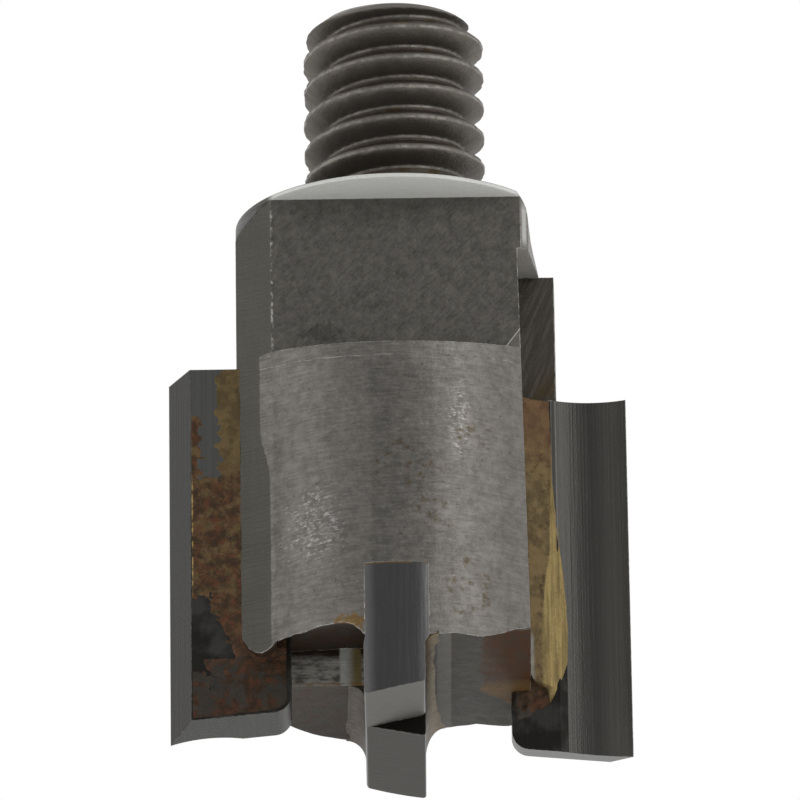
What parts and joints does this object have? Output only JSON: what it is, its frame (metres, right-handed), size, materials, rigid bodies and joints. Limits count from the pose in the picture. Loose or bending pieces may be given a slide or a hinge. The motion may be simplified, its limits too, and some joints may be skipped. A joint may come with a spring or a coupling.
{
  "type": "mortise router bit",
  "caption": "Two-wing mortising router bit with a threaded stud, spanner flats, brazed side tips and an end-cutting cross tip.",
  "frame": {"origin": "centre of the plane through the lowest cutting corners, on the bit's axis", "axes": "+Z along the axis towards the threaded end, side tips along X, front spanner flat facing -Y"},
  "size_m": [0.0198, 0.014, 0.0333],
  "materials": {
    "steel": "satin",
    "carbide": "satin",
    "braze": "satin"
  },
  "bodies": {
    "root": {"body": "steel", "side_tip_left": "carbide", "side_tip_right": "carbide", "cross_tip": "carbide", "braze_left": "braze", "braze_right": "braze", "braze_cross": "braze"}
  },
  "joints": []
}
